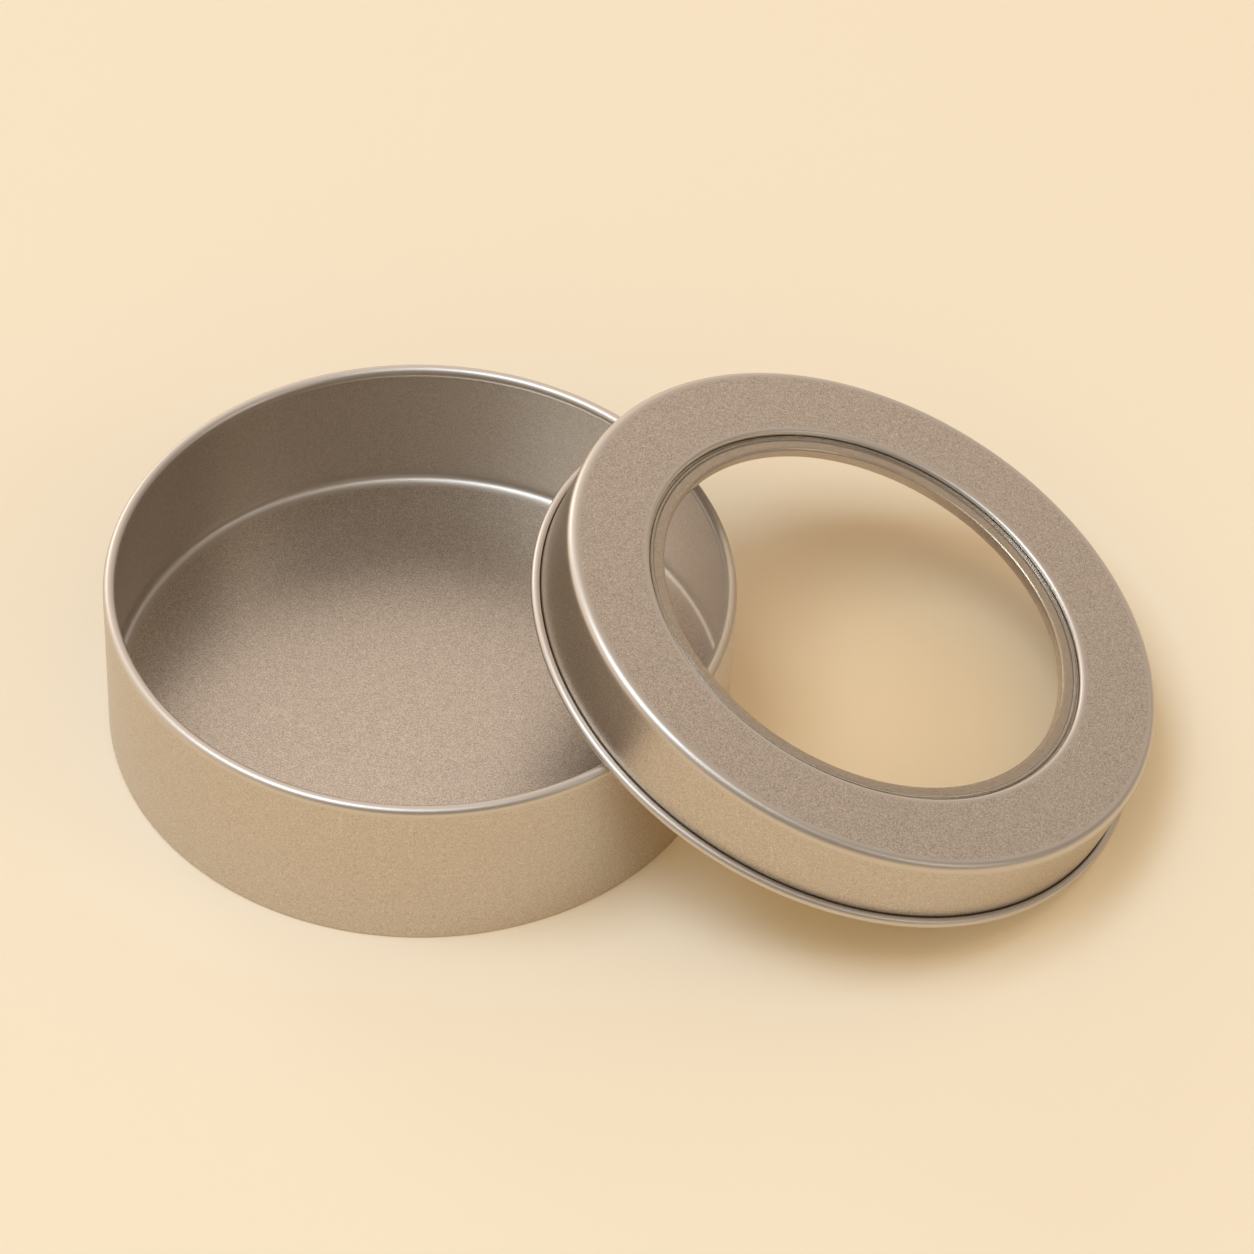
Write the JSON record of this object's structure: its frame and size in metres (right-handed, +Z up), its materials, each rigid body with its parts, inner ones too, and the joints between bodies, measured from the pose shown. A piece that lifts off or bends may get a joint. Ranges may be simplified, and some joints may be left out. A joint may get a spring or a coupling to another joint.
{
  "type": "round slip-lid tin with window",
  "caption": "Round drawn sheet-metal tin with a slip lid that has a clear window; the lid leans open on the rim of the base.",
  "frame": {"origin": "on the table under the tin, at the middle of the bottom of its bounding box, with the base can and the leaning lid together", "axes": "+X from the base can to the leaning lid, +Z up from the foot ring to the rim, -Z out of the foot ring"},
  "size_m": [0.1678, 0.1034, 0.0471],
  "materials": {
    "tinplate_base": "satin",
    "tinplate_lid": "satin",
    "clear_pane": "clear, glossy",
    "tinplate_ring": "bright"
  },
  "bodies": {
    "base": {"base_can": "tinplate_base"},
    "lid": {"lid_shell": "tinplate_lid", "window_pane": "clear_pane", "window_ring": "tinplate_ring"}
  },
  "joints": [
    {"name": "lid_lift", "type": "slide", "parent": "base", "child": "lid", "axis": [0, 0, 1], "range_m": [0, 0.06]}
  ]
}
